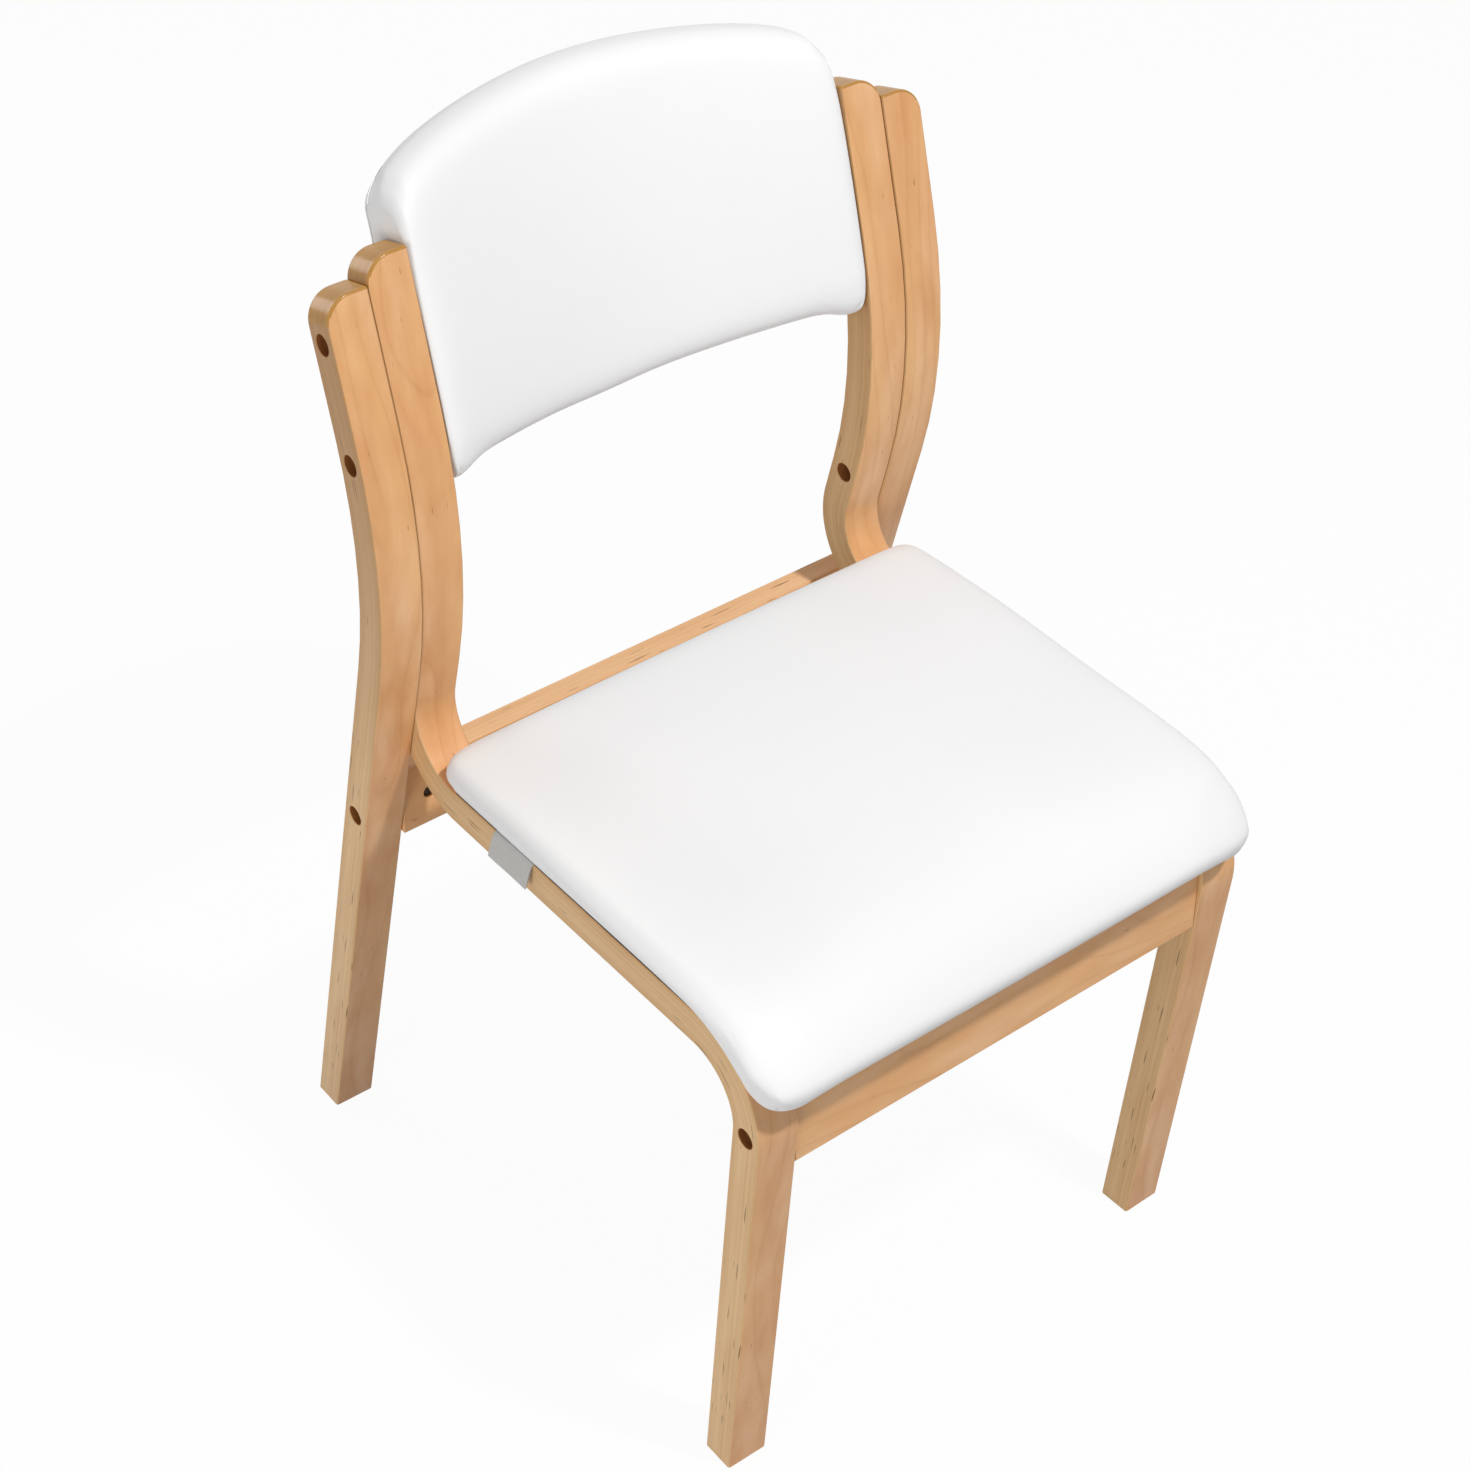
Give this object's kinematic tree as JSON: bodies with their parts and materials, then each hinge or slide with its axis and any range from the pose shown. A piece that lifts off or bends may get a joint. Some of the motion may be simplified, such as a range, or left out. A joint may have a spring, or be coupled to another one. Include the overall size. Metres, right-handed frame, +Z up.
{
  "type": "waiting room chair",
  "caption": "Armless waiting room chair with bent laminated wood sides, cross rails, a padded seat with a waterfall front and a bowed padded backrest.",
  "frame": {"origin": "on the floor under the middle of the chair", "axes": "+Z up; the front of the seat faces -Y; X runs across the chair"},
  "size_m": [0.4828, 0.5653, 0.8644],
  "materials": {
    "wood": "clear lacquered laminated birch, satin",
    "dowel": "raw beech",
    "steel": "zinc plated",
    "panel": "raw plywood",
    "foam": "open polyurethane foam",
    "vinyl": "smooth white vinyl, semi-matte, on wadding",
    "dust_cloth": "black spun cloth",
    "tag_cloth": "plain light grey cloth"
  },
  "bodies": {
    "root": {"left_rear_leg_post": "wood", "right_rear_leg_post": "wood", "left_front_leg_rail": "wood", "right_front_leg_rail": "wood", "front_rail": "wood", "rear_rail": "wood", "front_rail_dowels": "dowel", "rear_rail_dowels": "dowel", "front_rail_bolts": "steel", "rear_rail_bolts": "steel", "front_rail_barrel_nuts": "steel", "rear_rail_barrel_nuts": "steel", "seat_bolts": "steel", "seat_nuts": "steel", "back_bolts": "steel", "back_nuts": "steel", "post_joint_bolts": "steel", "post_joint_nuts": "steel", "seat_panel": "panel", "back_panel": "panel", "back_left_cleat": "panel", "back_right_cleat": "panel", "seat_foam": "foam", "back_foam": "foam", "seat_cover": "vinyl", "back_cover": "vinyl", "back_rear_cover": "vinyl", "seat_dust_cover": "dust_cloth", "side_tag": "tag_cloth"}
  },
  "joints": []
}
